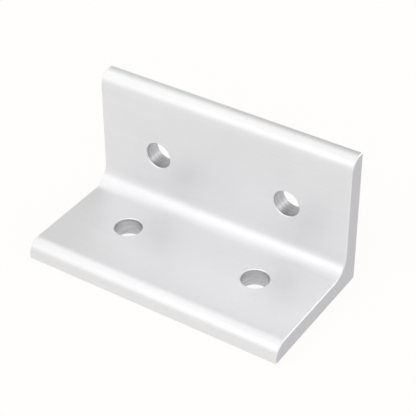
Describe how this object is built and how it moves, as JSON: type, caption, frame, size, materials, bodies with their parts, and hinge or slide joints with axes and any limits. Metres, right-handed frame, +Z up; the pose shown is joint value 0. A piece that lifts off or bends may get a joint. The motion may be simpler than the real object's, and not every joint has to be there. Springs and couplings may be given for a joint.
{
  "type": "corner bracket",
  "caption": "Right-angle corner bracket cut from extruded aluminium angle, with rounded toes, a filleted inner corner and drilled screw holes through both legs.",
  "frame": {"origin": "centre of the bracket's bounding box at its underside: the outer base face is Z = 0, and the origin lies midway between the base leg's toe and the outer back face and midway along the length", "axes": "+X along the extrusion, +Y from the base leg's toe towards the upright leg's outer back face, +Z up the upright leg"},
  "size_m": [0.086, 0.045, 0.045],
  "materials": {
    "anodised_aluminium": "sand-blasted and clear anodised, satin"
  },
  "bodies": {
    "root": {"corner_bracket": "anodised_aluminium"}
  },
  "joints": []
}
